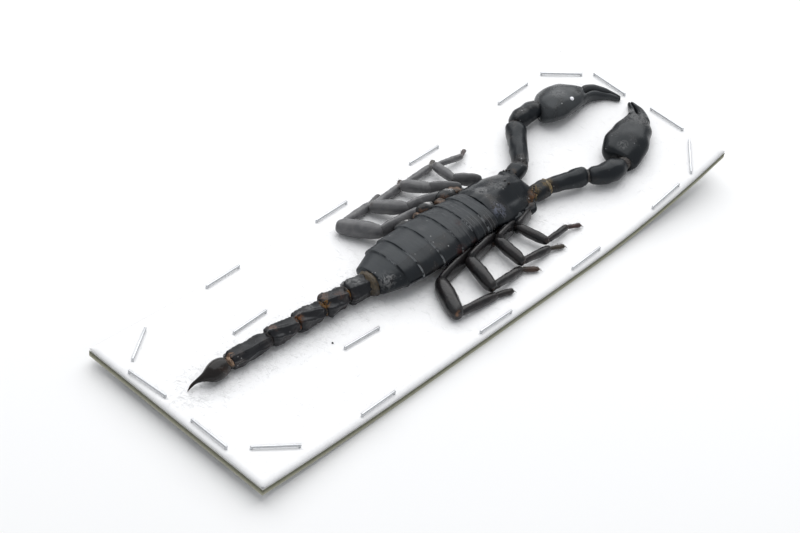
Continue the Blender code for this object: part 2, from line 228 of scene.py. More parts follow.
def pick(*pieces):
    """Selects these pieces and nothing else, with the first of them active."""
    if bpy.context.object and bpy.context.object.mode != "OBJECT":
        bpy.ops.object.mode_set(mode="OBJECT")
    bpy.ops.object.select_all(action="DESELECT")
    for piece in pieces:
        piece.select_set(True)
    if pieces:
        bpy.context.view_layer.objects.active = pieces[0]


def add_object(name, data):
    piece = bpy.data.objects.new(name, data)
    bpy.context.scene.collection.objects.link(piece)
    return piece


def apply_modifier(piece, kind, **values):
    """Adds a modifier with its values and applies it."""
    modifier = piece.modifiers.new(kind.lower(), kind)
    for key, value in values.items():
        setattr(modifier, key, value)
    pick(piece)
    bpy.ops.object.modifier_apply(modifier=modifier.name)


def add_pad():
    pick()
    bpy.ops.mesh.primitive_grid_add(x_subdivisions=PAD_GRID[0], y_subdivisions=PAD_GRID[1], size=1.0)
    pad = bpy.context.object
    pad.name = "cotton_wool"
    for point in pad.data.vertices:
        x = point.co.x * 2 * HALF_WIDTH
        y = point.co.y * 2 * HALF_LENGTH
        rim = min(HALF_WIDTH - abs(x), HALF_LENGTH - abs(y))
        ragged = 0.10 * noise.noise(Vector((x * 0.8, y * 0.8, 9.0))) if rim < 0.01 else 0.0
        rise = pad_rise(x, y) * min(rim / 0.8, 1.0) - RIM_DROP * max(1.0 - rim / RIM_WIDTH, 0.0) ** 2
        point.co = on_pad(x - math.copysign(abs(ragged), x), y, rise)
    apply_modifier(pad, "SOLIDIFY", thickness=PAD_THICK * MM, offset=-1.0)
    for point in pad.data.vertices:
        floor = (PAD_FLOOR + curl(point.co.y / MM)) * MM
        point.co.z = max(point.co.z, floor)
    pad.data.shade_smooth()
    return pad


def cotton_material():
    material, places, shader = new_material("cotton_wool")
    tufts = places.noise(420.0, 4.0, 1.0)
    fibres = places.noise(3600.0, 4.0, 2.5)
    colour = places.mix((0.92, 0.92, 0.925), (0.97, 0.97, 0.97), tufts)
    plug(shader.inputs, {"Base Color": colour, "Roughness": 1.0, "Specular IOR Level": 0.1, "Sheen Weight": 0.25})
    bumps(places, shader, fibres + 0.3 * tufts, 0.25, 0.2)
    return material


def finish_piece(piece, material, slot, *nodes):
    """The finished piece's material, its body, and the solids that it stands for."""
    give(piece, material)
    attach(piece, "root")
    if nodes:
        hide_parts(*nodes)


cotton = cotton_material()
pad = add_pad()
finish_piece(pad, cotton, "cotton", "cotton_pad")


def square_to(way):
    """The two ways square to a way: level to its side, and up from it."""
    side = way.cross(UP)
    side = side.normalized() if side.length > 0.01 else Vector((1.0, 0.0, 0.0))
    return side, side.cross(way).normalized()


def strands(name, roots, ways, lengths, thickness, droop, wave):
    """Fine curved hairs in one mesh: each is a three-sided tube that comes to a point."""
    joints = 5
    corners = [(math.cos(math.tau * k / 3), math.sin(math.tau * k / 3)) for k in range(3)]
    points = []
    faces = []
    for root, way, length in zip(roots, ways, lengths):
        side, lift = square_to(way)
        phase = (root.x * 7.1 + root.y * 13.3) / MM
        first = len(points)
        for joint in range(joints - 1):
            share = joint / (joints - 1)
            bow = wave * length * math.sin(share * 2.4 + phase)
            centre = root + way * (length * share) + side * bow - UP * (droop * length * share * share)
            radius = thickness / 2 * (1.0 - 0.55 * share)
            points += [centre + side * (radius * a) + lift * (radius * b) for a, b in corners]
        points.append(root + way * length - UP * (droop * length))
        tip = len(points) - 1
        faces.append((first + 2, first + 1, first))
        for joint in range(joints - 2):
            low = first + 3 * joint
            for k in range(3):
                after = (k + 1) % 3
                faces.append((low + k, low + after, low + 3 + after, low + 3 + k))
        low = first + 3 * (joints - 2)
        faces += [(low + k, low + (k + 1) % 3, tip) for k in range(3)]
    mesh = bpy.data.meshes.new(name)
    mesh.from_pydata([tuple(point) for point in points], [], faces)
    mesh.shade_smooth()
    return add_object(name, mesh)


def scatter_cotton():
    """Loose fibres over the pad, crowded round the body, the tail and the legs."""
    dice = np.random.default_rng(11)
    roots, ways, lengths = [], [], []
    spine = ((-2.3, -66.0), (-2.2, -50.0), (-1.5, -35.0), (-0.5, -20.0), (0.0, -8.0), (0.0, 8.0), (0.0, 26.0))
    while len(roots) < FIBRE_COUNT:
        crowded = len(roots) % 6 != 0
        if crowded:
            x, y = spine[dice.integers(len(spine))]
            x += dice.normal(0.0, 1.0) * (2.8 if y < -15.0 else 9.0)
            y += dice.normal(0.0, 5.5)
        else:
            x = dice.uniform(-HALF_WIDTH + 0.8, HALF_WIDTH - 0.8)
            y = dice.uniform(-HALF_LENGTH + 0.8, HALF_LENGTH - 0.8)
        if abs(x) > HALF_WIDTH - FIBRE_MARGIN or abs(y) > HALF_LENGTH - FIBRE_MARGIN:
            continue
        heading = dice.uniform(0.0, math.tau)
        tilt = abs(dice.normal(0.0, 0.30))
        way = Vector((math.cos(heading), math.sin(heading), tilt)).normalized()
        roots.append(on_pad(x, y, pad_rise(x, y) - 0.04))
        ways.append(way)
        lengths.append(dice.uniform(0.9, 2.6) * MM * (1.0 if tilt < 0.3 else 0.55))
    return strands("cotton_fibres", roots, ways, lengths, FIBRE_WIDTH * MM, 0.04, 0.14)


finish_piece(scatter_cotton(), cotton, "cotton")

# Eighteen small office staples hold the pad to the card. Each is one flat steel wire
# with its corners rolled round, dull along the crown and bright where it turns down.
WIRE_ROUNDING = 0.13


def add_staples():
    pieces = []
    for number in range(1, len(STAPLES) + 1):
        node = "staple_%02d" % number
        wire = add_object("wire_%02d" % number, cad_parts[node].data.copy())
        pick(wire)
        bpy.ops.object.mode_set(mode="EDIT")
        bpy.ops.mesh.select_all(action="SELECT")
        bpy.ops.mesh.remove_doubles(threshold=0.02 * MM)
        bpy.ops.mesh.dissolve_limited(angle_limit=math.radians(3.0))
        bpy.ops.object.mode_set(mode="OBJECT")
        apply_modifier(wire, "BEVEL", width=WIRE_ROUNDING * MM, segments=2, angle_limit=math.radians(35.0))
        wire.data.shade_smooth()
        pieces.append((wire, node))
    return pieces


def steel_material():
    material, places, shader = new_material("staple_wire")
    drawn = places.noise(2600.0, 2.0)
    colour = places.mix((0.42, 0.43, 0.45), (0.62, 0.63, 0.64), drawn)
    plug(shader.inputs, {"Base Color": colour, "Roughness": 0.28 + 0.25 * drawn, "Metallic": 1.0})
    bumps(places, shader, drawn, 0.2, 0.05)
    return material


steel = steel_material()
for wire, node in add_staples():
    finish_piece(wire, steel, "staple_steel", node)

# The abdomen is a horny shell of seven back plates. Each plate's rear edge is a thin lip
# that laps over the plate behind, and a soft fold runs along the side under the plates.
BODY_SIDES = 44
PLATE_EDGES = (-18.8, -14.0, -9.8, -3.6, 2.5, 7.5, 11.8, 15.6)
PLATE_LIP = ((0.05, -0.10), (0.0, 0.10), (0.08, 0.20), (0.35, 0.20), (0.8, 0.15))
PLATE_FALL = ((0.32, 0.08), (0.55, 0.0), (0.78, -0.10), (0.93, -0.18))
ABDOMEN = (
    (-19.2, 6.8, 5.2, 0.9), (-18.8, 8.6, 5.8, 0.6), (-14.0, 12.8, 7.2, 0.3), (-9.8, 14.0, 7.5, 0.3),
    (-3.6, 14.8, 7.7, 0.3), (2.5, 14.5, 7.6, 0.3), (7.5, 14.0, 7.5, 0.3), (15.6, 13.4, 7.3, 0.4),
)


def draw_out(name, rings, levels=1):
    """A closed skin drawn out ring by ring, each ring extruded from the last one."""
    pick()
    sides = len(rings[0])
    bpy.ops.mesh.primitive_circle_add(vertices=sides, radius=1.0, fill_type="NGON")
    piece = bpy.context.object
    piece.name = name
    bpy.ops.object.mode_set(mode="EDIT")
    bpy.ops.mesh.select_all(action="SELECT")
    shape = bmesh.from_edit_mesh(piece.data)
    shape.faces.ensure_lookup_table()
    shape.verts.index_update()
    current = list(shape.faces[0].verts)
    for point, place in zip(current, rings[0]):
        point.co = place
    bmesh.update_edit_mesh(piece.data)
    order = [point.index for point in current]
    for ring in rings[1:]:
        bpy.ops.mesh.extrude_region()
        shape = bmesh.from_edit_mesh(piece.data)
        shape.verts.ensure_lookup_table()
        shape.verts.index_update()
        grown = {tuple(point.co): point for point in shape.verts if point.select}
        current = [grown[tuple(shape.verts[index].co)] for index in order]
        for point, place in zip(current, ring):
            point.co = place
        order = [point.index for point in current]
        bmesh.update_edit_mesh(piece.data)
    bpy.ops.mesh.select_all(action="SELECT")
    bpy.ops.mesh.normals_make_consistent(inside=False)
    bpy.ops.object.mode_set(mode="OBJECT")
    if levels:
        apply_modifier(piece, "SUBSURF", levels=levels, render_levels=levels)
    piece.data.shade_smooth()
    return piece


def roughen(piece, size, depth, seed=0.0):
    """Moves the skin in and out by soft lumps of a size and depth in millimetres."""
    normals = [point.normal.copy() for point in piece.data.vertices]
    for point, normal in zip(piece.data.vertices, normals):
        lump = noise.noise(point.co / (size * MM) + Vector((seed, seed, seed)))
        point.co += normal * (lump * depth * MM)


def turns_round(sides):
    """Turns spread evenly round a section, one for each of its corners."""
    return [math.tau * (step + 0.5) / sides for step in range(sides)]


def body_section(sides, peak=1.0):
    """The body's half round back over a belly that tapers in like a boat."""
    section = []
    for turn in turns_round(sides):
        across, rise = math.cos(turn), math.sin(turn)
        power = peak if rise > 0.0 else 1.45
        section.append((math.copysign(abs(across) ** power, across), math.copysign(abs(rise) ** power, rise), turn))
    return section


def body_ring(y, width, back, belly, section):
    widest = belly + 0.52 * (back - belly)
    ring = []
    for x, z, turn in section:
        reach = back - widest if z > 0.0 else widest - belly
        fold = 1.0 - 0.035 * bell(math.sin(turn) + 0.12, 0.006)
        ring.append(Vector((width / 2 * x * fold, y, PAD_TOP + widest + reach * z)) * MM)
    return ring


def body_size(stations, y):
    for near, far in zip(stations, stations[1:]):
        if y <= far[0]:
            share = (y - near[0]) / (far[0] - near[0])
            return [a + share * (b - a) for a, b in zip(near[1:], far[1:])]
    return list(stations[-1][1:])


def ramp(value, start, length):
    """0 up to the start, then rising evenly to 1 over a length."""
    return min(max((value - start) / length, 0.0), 1.0)


def add_abdomen():
    section = body_section(BODY_SIDES)
    rings = [body_ring(-19.3, 6.2, 4.9, 1.2, section), body_ring(*ABDOMEN[0], section)]
    for rear, front in zip(PLATE_EDGES, PLATE_EDGES[1:]):
        lifts = [(rear + ahead, lift) for ahead, lift in PLATE_LIP]
        lifts += [(rear + (front - rear) * share, lift) for share, lift in PLATE_FALL]
        for y, lift in lifts:
            width, back, belly = body_size(ABDOMEN, y)
            rings.append(body_ring(y, width + 2 * lift, back + lift, belly, section))
    rings.append(body_ring(16.2, 12.0, 6.5, 0.8, section))
    rings.append(body_ring(16.8, 10.0, 5.6, 1.6, section))
    shell = draw_out("abdomen_plates", rings, 1)
    for point in shell.data.vertices:
        x, y, z = point.co / MM
        high = ramp(z, 7.0, 2.5)
        point.co.z += 0.10 * MM * high * noise.noise(Vector((x * 0.2, y * 0.35, 2.0)))
        point.co.z -= 0.08 * MM * high * bell(x, 2.4)
    roughen(shell, 3.0, 0.05)
    return shell


def shell_material(name, dark, brown, dust_and_haze, marks=(), gloss=0.2, depth=0.6, lips=(), shade=None):
    """Horny black shell with a grey dusting in places, heavier on far-side pieces as painted haze.
    Each mark is a place, a reach and a colour, each lip is where a plate's edge runs
    across with a pale line of painted highlight and wear, and shade is how far from the
    middle the painted grey sheen on the back's far side ends."""
    material, places, shader = new_material(name)
    cloud = places.noise(240.0, 3.0, 0.6)
    streak = places.noise(900.0, 4.0, 1.6)
    grain = places.noise(5200.0, 3.0)
    pores = places.make("ShaderNodeTexVoronoi", {}, {"Vector": places, "Scale": 900.0}, "Distance")
    colour = places.mix(dark, brown, cloud.step(0.50, 0.75) * 0.8)
    smear = cloud.step(0.52, 0.72) * streak.step(0.42, 0.70)
    # Grey patches: dust, and on far-side pieces given a larger amount, painted haze as well.
    dust_and_haze_patches = smear * dust_and_haze
    colour = colour.blend(dust_and_haze_patches, (0.16, 0.165, 0.17))
    rough = gloss + 0.10 * streak + 0.35 * dust_and_haze_patches
    for x, y, z, reach, tint, weight in marks:
        near = places.near(Vector((x, y, z + PAD_TOP)) * MM, 0.35 * reach, reach) * streak.step(0.38, 0.62) * weight
        colour = colour.blend(near, tint)
        rough = rough + 0.3 * near
    if shade:
        # Painted sheen: the back's far, upper side is painted a lighter grey, standing in for the bright room
        # reflected there.
        jagged = places.axis("X") + (1.6 * cloud + 0.8 * streak - 1.2) * MM
        painted_sheen = 1.0 - jagged.step((shade - 0.5) * MM, (shade + 0.5) * MM)
        colour = colour.blend(painted_sheen * 0.7, (0.026, 0.030, 0.034))
        rough = rough + 0.10 * painted_sheen
    height = 0.25 * cloud + 0.35 * streak + 0.10 * grain - 0.10 * pores.step(0.0, 0.25)
    height = height + 3.0 * places.noise(130.0, 2.0, 0.5)
    if lips:
        along = places.axis("Y")
        nearer = places.axis("X").step(-3.0 * MM, 3.0 * MM)
        # Pale lines along the plate lips, strongest on the near side: painted highlight where the rounded lips catch
        # the light, partly wear.
        worn_and_lit = cloud.step(0.40, 0.52) * (0.25 + 0.75 * nearer)
        for lip in lips:
            line = 1.0 - abs(along - lip * MM).step(0.03 * MM, 0.16 * MM)
            colour = colour.blend(line * worn_and_lit * streak.step(0.36, 0.50) * 0.85, (0.24, 0.25, 0.26))
        folds = along.calculate("SINE", along * (math.tau / (1.15 * MM)) + 1.5 * cloud, 0.0)
        stretched = places.make("ShaderNodeVectorMath", {"operation": "MULTIPLY"},
                                {0: places, 1: (0.14, 1.0, 0.14)}, "Vector")
        crowded = folds * along.step(1.0 * MM, 6.0 * MM)
        # Painted highlight: the crests of the fine folds at the front are painted a lighter grey.
        colour = colour.blend(crowded.step(0.75, 0.98) * cloud.step(0.42, 0.6) * 0.30, (0.16, 0.165, 0.17))
        height = height + 0.40 * crowded + 1.2 * stretched.noise(1500.0, 3.0)
    specks = places.make("ShaderNodeTexVoronoi", {}, {"Vector": places, "Scale": 620.0}, "Distance")
    fleck = (1.0 - specks.step(0.07, 0.13)) * cloud.step(0.48, 0.60)
    colour = colour.blend(fleck * 0.55, (0.45, 0.45, 0.45))
    plug(shader.inputs, {"Base Color": colour, "Roughness": rough, "Specular IOR Level": 0.25,
                         "Specular Tint": (0.94, 0.98, 1.0, 1.0)})
    bumps(places, shader, height, depth, 0.1)
    return material


BLACK = (0.010, 0.012, 0.0145)
BROWN_BLACK = (0.016, 0.012, 0.010)
PALE_DUST = (0.20, 0.20, 0.20)
RED_BROWN = (0.055, 0.012, 0.008)
abdomen_marks = (
    (2.7, -17.2, 4.9, 2.6, PALE_DUST, 0.8), (3.9, -14.4, 4.8, 1.5, PALE_DUST, 0.5),
    (1.9, 6.2, 7.3, 1.3, RED_BROWN, 1.0), (6.6, 2.2, 4.4, 2.2, RED_BROWN, 0.6),
    (6.4, 6.5, 4.5, 1.6, RED_BROWN, 0.4), (-1.6, -1.5, 7.4, 1.6, PALE_DUST, 0.6),
    (-4.6, 6.6, 6.5, 2.0, PALE_DUST, 0.35), (-4.9, -8.5, 6.0, 2.2, PALE_DUST, 0.3),
)
# The painted sheen on the back ends 2.3 mm to the near side of the middle.
back_plates = shell_material("back_plates", BLACK, BROWN_BLACK, 0.12, abdomen_marks, 0.20, 0.35,
                             PLATE_EDGES[1:-1], 2.3)
finish_piece(add_abdomen(), back_plates, "body_cuticle", "abdomen")

# The carapace is one shield over the head. A groove runs down its middle to a notch in
# front, two eyes stand on a low mound, and three small ones sit at each front corner.
CARAPACE = (
    (15.3, 13.2, 7.4, 0.5), (16.6, 13.8, 7.7, 0.4), (19.5, 13.8, 7.6, 0.4), (23.0, 13.2, 7.5, 0.4),
    (26.5, 11.8, 7.0, 0.5), (28.5, 10.8, 6.5, 0.8), (28.9, 10.6, 6.4, 3.3), (30.4, 9.8, 5.8, 3.4),
    (31.2, 8.4, 5.2, 3.8),
)


def join_all(name, made):
    pick(*made)
    if len(made) > 1:
        bpy.ops.object.join()
    made[0].name = name
    return made[0]


def add_beads(name, beads):
    """Small bright domes, such as eyes: the place of each, and its width."""
    made = []
    for x, y, z, width in beads:
        pick()
        bpy.ops.mesh.primitive_ico_sphere_add(subdivisions=3, radius=width / 2 * MM, location=on_pad(x, y, z))
        bead = bpy.context.object
        bpy.ops.object.transform_apply(location=True, rotation=False, scale=False)
        bead.data.shade_smooth()
        made.append(bead)
    return join_all(name, made)


def add_carapace():
    section = body_section(BODY_SIDES, 1.3)
    stations = [15.3, 15.35, 15.6, 16.0, 16.6, 17.4, 18.4, 19.5, 20.6, 21.8, 23.0, 24.2, 25.4, 26.5, 27.4, 28.1, 28.5]
    rings = [body_ring(y, *body_size(CARAPACE, y), section) for y in stations]
    rings += [body_ring(*CARAPACE[6], section), body_ring(29.5, 10.3, 6.15, 3.35, section)]
    rings += [body_ring(*CARAPACE[7], section), body_ring(30.9, 9.1, 5.5, 3.6, section)]
    rings.append(body_ring(*CARAPACE[8], section))
    shell = draw_out("head_shield", rings, 1)
    for point in shell.data.vertices:
        x, y, z = point.co / MM
        high = ramp(z, 6.4, 2.2)
        groove = bell(x, 0.25) * (1.0 - bell(y - 25.0, 1.2))
        rear = bell(y - 18.4 - 0.10 * x * x, 0.35)
        mound = bell(x, 1.6) * bell(y - 25.0, 2.2)
        side = bell(abs(x) - 3.4, 0.9)
        point.co.z += (-0.16 * groove - 0.10 * rear + 0.30 * mound - 0.04 * side) * high * MM
        slope = ramp(y, 17.0, 4.0) * ramp(z, 4.0, 1.5)
        point.co.z -= min(0.38 * max(x - 0.4, 0.0), 1.2) * slope * MM
        point.co.y -= 1.1 * MM * bell(x, 3.0) * ramp(y, 29.6, 1.6)
    roughen(shell, 3.0, 0.12, 3.0)
    return shell


carapace_marks = (
    (-2.0, 18.5, 7.4, 2.4, PALE_DUST, 0.6), (4.4, 17.6, 6.4, 2.6, (0.10, 0.11, 0.15), 0.8),
    (-2.6, 27.6, 6.6, 1.5, PALE_DUST, 0.5), (4.9, 30.2, 4.2, 2.4, (0.12, 0.055, 0.020), 1.0),
    (5.6, 28.4, 3.6, 1.8, (0.12, 0.055, 0.020), 0.8), (-1.0, 22.5, 7.4, 2.6, PALE_DUST, 0.3),
)
finish_piece(add_carapace(), shell_material("head_shell", BLACK, BROWN_BLACK, 0.15, carapace_marks, 0.2, 0.4),
             "body_cuticle", "carapace")

EYES = ((0.55, 25.0, 7.35, 0.6), (3.7, 30.6, 5.35, 0.5), (4.15, 30.0, 5.35, 0.5), (4.4, 29.4, 5.35, 0.45))


def eye_material():
    material, places, shader = new_material("eye_lens")
    colour = places.mix((0.003, 0.003, 0.003), (0.012, 0.006, 0.004), places.noise(700.0, 1.0))
    plug(shader.inputs, {"Base Color": colour, "Roughness": 0.06})
    return material


eyes = add_beads("eyes", [(side * x, *rest) for side in (-1.0, 1.0) for x, *rest in EYES])
finish_piece(eyes, eye_material(), "body_cuticle")

# The jaws are two short blunt pincers under the shield's front edge, each a thick base
# with a hooked finger.


def ring_across(centre, direction, width, height, section):
    side, lift = square_to(direction)
    return [centre + (side * (width / 2 * x) + lift * (height / 2 * z)) * MM for x, z in section]


def round_section(sides):
    return [(math.cos(turn), math.sin(turn)) for turn in turns_round(sides)]


ROUND_14 = round_section(14)


def route_rings(route, section, depth=1.0):
    """Rings along a smooth route, each row of it a place and a width."""
    places = [on_pad(*row[:3]) for row in route]
    rings = []
    for index, row in enumerate(route):
        width = row[3]
        before = places[max(index - 1, 0)]
        after = places[min(index + 1, len(places) - 1)]
        rings.append(ring_across(places[index], (after - before).normalized(), width, width * depth, section))
    return rings


JAW = ((1.3, 29.3, 1.8, 1.4), (1.3, 29.6, 1.8, 2.0), (1.3, 30.6, 1.8, 2.2), (1.3, 31.2, 1.8, 1.8),
       (1.15, 31.7, 1.75, 1.2), (0.9, 32.1, 1.6, 0.7), (0.7, 32.4, 1.4, 0.25))
jaw_shell = shell_material("jaw_shell", BLACK, (0.05, 0.022, 0.010), 0.2)
for side, word in ((-1.0, "left"), (1.0, "right")):
    jaw = draw_out("jaw_" + word, route_rings([(side * x, *rest) for x, *rest in JAW], ROUND_14), 1)
    roughen(jaw, 0.8, 0.05)
    finish_piece(jaw, jaw_shell, "body_cuticle", "chelicera_" + word)

# The tail is five hard rings, twisted a little as they dried. Rows of jagged points stand
# on their keels, and brown leathery skin shows where one ring is let into the next.
TAIL_JOINTS = (
    (-0.2, -19.6, 3.2), (-1.1, -25.4, 3.0), (-1.4, -32.2, 2.8), (-1.7, -39.6, 2.7),
    (-2.3, -47.0, 2.6), (-2.4, -58.0, 2.5),
)
TAIL_WIDTHS = (5.9, 5.4, 5.0, 4.7, 4.4)
TAIL_TWIST = (-8.0, -34.0, -58.0, -44.0, -12.0)
TAIL_INSET = 0.15
KEELS = (60.0, 120.0, 12.0, 168.0, -48.0, -132.0)


def keel_gap(turn, keel):
    """Degrees from one keel round to a turn, between -180 and 180."""
    return (turn - keel + 180.0) % 360.0 - 180.0


def keeled_section(twist, sides=48):
    """A tail ring cut across: narrow keels with hollows between them."""
    section = []
    for step in range(sides):
        turn = 360.0 * step / sides
        reach = 0.86
        for keel in KEELS:
            reach += 0.15 * bell(keel_gap(turn, keel), 81.0)
        reach -= 0.06 * bell(keel_gap(turn, 90.0), 256.0)
        angle = math.radians(turn + twist)
        section.append((reach * math.cos(angle), reach * math.sin(angle)))
    return section


def keel_share(turn):
    """1 on a keel of the tail, falling to 0 in the hollows."""
    return max(bell(keel_gap(turn, keel), 49.0) for keel in KEELS)


def twisted(number, share):
    """Degrees by which a ring has turned at a share of its length."""
    return TAIL_TWIST[number - 1] * (share - 0.3)


def tail_ring(number, front, rear, way, start, end, width):
    profile = ((0.0, 0.66), (0.02, 0.74), (0.06, 0.84), (0.12, 0.91), (0.20, 0.94), (0.30, 0.95), (0.40, 0.96),
               (0.50, 0.98), (0.60, 1.0), (0.70, 1.03), (0.80, 1.05), (0.88, 1.03), (0.94, 0.97), (0.975, 0.88),
               (0.99, 0.80), (1.0, 0.70))
    rings = []
    for share, size in profile:
        centre = front.lerp(rear, share)
        facing = {0.0: start, 1.0: end}.get(share, way)
        inset = {0.0: TAIL_INSET, 1.0: -TAIL_INSET}.get(share, 0.0) * MM
        rings.append(ring_across(centre + way * inset, facing, width * size, width * size * 0.94,
                                 keeled_section(twisted(number, share))))
    shell = draw_out("tail_ring_%d" % number, rings, 1)
    side, lift = square_to(way)
    length = (rear - front).length
    for point in shell.data.vertices:
        away = point.co - front
        share = away.dot(way) / length
        centre = front + way * away.dot(way)
        out = point.co - centre
        turn = math.degrees(math.atan2(out.dot(lift), out.dot(side))) - twisted(number, share)
        row = keel_share(turn) * ramp(share, 0.08, 0.1) * ramp(0.97 - share, 0.0, 0.05)
        tooth = abs(math.sin(share * length / MM * 3.6 + number)) ** 0.6
        jag = 0.5 + 0.5 * noise.noise(point.co / (0.9 * MM))
        high = 1.0 if out.dot(lift) > 0.0 else 0.4
        point.co += out.normalized() * (row * high * (0.30 * tooth * jag - 0.05) * MM)
    roughen(shell, 2.2, 0.34, number)
    roughen(shell, 0.7, 0.10, number)
    return shell


def collar(name, centre, way, width, height, length, taper=0.0):
    """A short sleeve of soft skin between two hard pieces, gathered in fine folds."""
    rings = []
    folds = 9
    for fold in range(folds):
        share = fold / (folds - 1)
        swell = 0.72 + 0.28 * math.sin(math.pi * share) + (0.035 if fold % 2 else -0.035)
        swell *= 1.0 + taper * (0.5 - share)
        rings.append(ring_across(centre + way * ((share - 0.5) * length * MM), way, width * swell, height * swell,
                                 ROUND_14))
    sleeve = draw_out(name, rings, 1)
    side = way.cross(UP).normalized()
    for point in sleeve.data.vertices:
        out = point.co - centre - way * (point.co - centre).dot(way)
        turn = math.atan2(out.z, out.dot(side))
        point.co += out.normalized() * (0.07 * MM * math.sin(13.0 * turn))
    roughen(sleeve, 0.8, 0.12, centre.x * 900.0)
    roughen(sleeve, 0.3, 0.05)
    return sleeve


def bend_way(places, joint):
    """Midway between the ways into a joint and out of it."""
    before = (places[joint] - places[joint - 1]).normalized()
    after = (places[joint + 1] - places[joint]).normalized()
    return (before + after).normalized()


def skin_material(name, first, second, shine=0.3, spots=()):
    """Dried leathery skin, lumpy and rather glossy, and amber at each spot given."""
    material, places, shader = new_material(name)
    cloud = places.noise(650.0, 4.0, 1.0)
    fine = places.noise(3400.0, 3.0, 1.0)
    colour = places.mix(first, second, cloud.step(0.35, 0.65))
    for x, y, z, reach, tint in spots:
        near = places.near(Vector((x, y, z + PAD_TOP)) * MM, 0.6 * reach, reach)
        colour = colour.blend(near * cloud.step(0.34, 0.52), tint)
    colour = colour.blend(fine.step(0.55, 0.68) * 0.6, (0.012, 0.010, 0.008))
    plug(shader.inputs, {"Base Color": colour, "Roughness": shine + 0.25 * fine})
    bumps(places, shader, cloud + 0.6 * fine, 0.8, 0.25)
    return material


tail_marks = (
    (-0.9, -22.6, 5.8, 1.8, PALE_DUST, 0.6), (-2.2, -24.0, 5.2, 1.2, PALE_DUST, 0.6),
    (-0.6, -28.0, 5.2, 1.6, (0.10, 0.05, 0.035), 0.6), (-2.6, -30.8, 4.9, 1.8, (0.16, 0.11, 0.09), 0.7),
    (-1.0, -32.0, 4.6, 1.6, (0.16, 0.075, 0.012), 0.9), (-1.3, -39.2, 4.3, 1.5, (0.14, 0.05, 0.012), 0.9),
    (-2.2, -35.2, 5.2, 1.5, PALE_DUST, 0.5), (-2.6, -45.2, 4.6, 1.5, (0.20, 0.12, 0.09), 0.7),
    (-2.6, -57.2, 4.4, 1.1, (0.34, 0.19, 0.11), 1.0),
)
tail_shell = shell_material("tail_shell", (0.012, 0.012, 0.014), (0.028, 0.017, 0.014), 0.35, tail_marks, 0.24, 1.0)
tail_places = [on_pad(*joint) for joint in TAIL_JOINTS]
tail_ways = [(rear - front).normalized() for front, rear in zip(tail_places, tail_places[1:])]
tail_turns = [tail_ways[0]] + [(a + b).normalized() for a, b in zip(tail_ways, tail_ways[1:])] + [tail_ways[-1]]
for number, width in enumerate(TAIL_WIDTHS, start=1):
    ring = tail_ring(number, tail_places[number - 1], tail_places[number], tail_ways[number - 1],
                     tail_turns[number - 1], tail_turns[number], width)
    finish_piece(ring, tail_shell, "body_cuticle", "tail_segment_%d" % number)

tail_root = tail_places[0] + Vector((0.0, 0.1, -0.1)) * MM
tail_skins = [collar("tail_root", tail_root, tail_turns[0], 6.7, 5.3, 2.6, 0.45)]
for number in range(1, 6):
    width = TAIL_WIDTHS[number - 1] * 0.71
    tail_skins.append(collar("tail_skin", tail_places[number], tail_turns[number], width, width * 0.88, 1.1))
AMBER = (0.145, 0.066, 0.009)
OCHRE = (0.10, 0.068, 0.028)
tail_spots = ((-0.2, -19.2, 4.0, 4.2, (0.062, 0.044, 0.021)), (0.6, -25.4, 4.2, 1.9, AMBER),
              (0.2, -32.2, 4.0, 2.2, AMBER), (-0.3, -39.6, 4.0, 2.1, (0.11, 0.036, 0.011)),
              (-1.8, -57.9, 4.4, 1.5, (0.30, 0.19, 0.12)))
amber = skin_material("amber_skin", (0.010, 0.008, 0.007), (0.022, 0.015, 0.011), 0.28, tail_spots)
finish_piece(join_all("tail_skin", tail_skins), amber, "body_cuticle")

# The poison bulb is smooth and full, and draws out into a sting that hooks down to the
# cotton. Dried, it is brown-black, and reddest where the sting is thin.
STINGER = (
    (-2.4, -58.3, 2.5, 2.2), (-2.4, -58.7, 2.5, 3.1), (-2.4, -59.4, 2.5, 3.9), (-2.35, -60.4, 2.45, 4.35),
    (-2.3, -61.4, 2.4, 4.5), (-2.25, -62.4, 2.4, 4.2), (-2.25, -63.3, 2.35, 3.5), (-2.4, -64.1, 2.3, 2.5),
    (-2.55, -64.8, 2.2, 1.7), (-2.8, -65.6, 2.0, 1.15), (-3.0, -66.3, 1.7, 0.85), (-3.1, -66.9, 1.4, 0.68),
    (-3.1, -67.5, 1.1, 0.54), (-3.0, -68.1, 0.8, 0.40), (-2.75, -68.9, 0.4, 0.16),
)
bulb = draw_out("bulb_and_sting", route_rings(STINGER, ROUND_14), 2)
roughen(bulb, 1.8, 0.10, 1.0)
roughen(bulb, 0.6, 0.02)
sting_marks = ((-2.2, -59.0, 4.2, 1.4, (0.30, 0.17, 0.10), 0.9), (-3.0, -67.6, 1.0, 2.4, (0.05, 0.018, 0.008), 1.0))
finish_piece(bulb, shell_material("sting_shell", (0.014, 0.011, 0.010), (0.030, 0.016, 0.011), 0.25, sting_marks),
             "sting_cuticle", "stinger")

# Eight jointed legs. The thighs are flat dark plates, the next article is full and
# glossy, and the feet are brown, bristly, and end in two small hooked claws.
RIGHT_LEGS = (
    ((5.0, 27.2, 1.3), (6.8, 25.8, 1.8), (8.8, 19.4, 3.0), (15.6, 21.4, 2.3), (14.9, 29.3, 1.4), (16.2, 32.6, 0.9)),
    ((5.2, 21.4, 1.2), (7.2, 19.8, 1.8), (8.9, 12.5, 3.2), (16.5, 11.9, 2.5), (16.9, 20.9, 1.3), (18.2, 24.4, 0.9)),
    ((5.2, 15.4, 1.1), (6.7, 13.8, 1.6), (9.1, 2.8, 3.2), (17.6, 0.6, 2.5), (17.1, 10.8, 1.2), (19.3, 14.2, 0.9)),
    ((4.8, 9.4, 1.0), (6.1, 7.6, 1.2), (9.0, -6.4, 2.2), (17.8, -11.0, 2.0), (18.9, 0.2, 1.2), (20.2, 4.5, 0.9)),
)
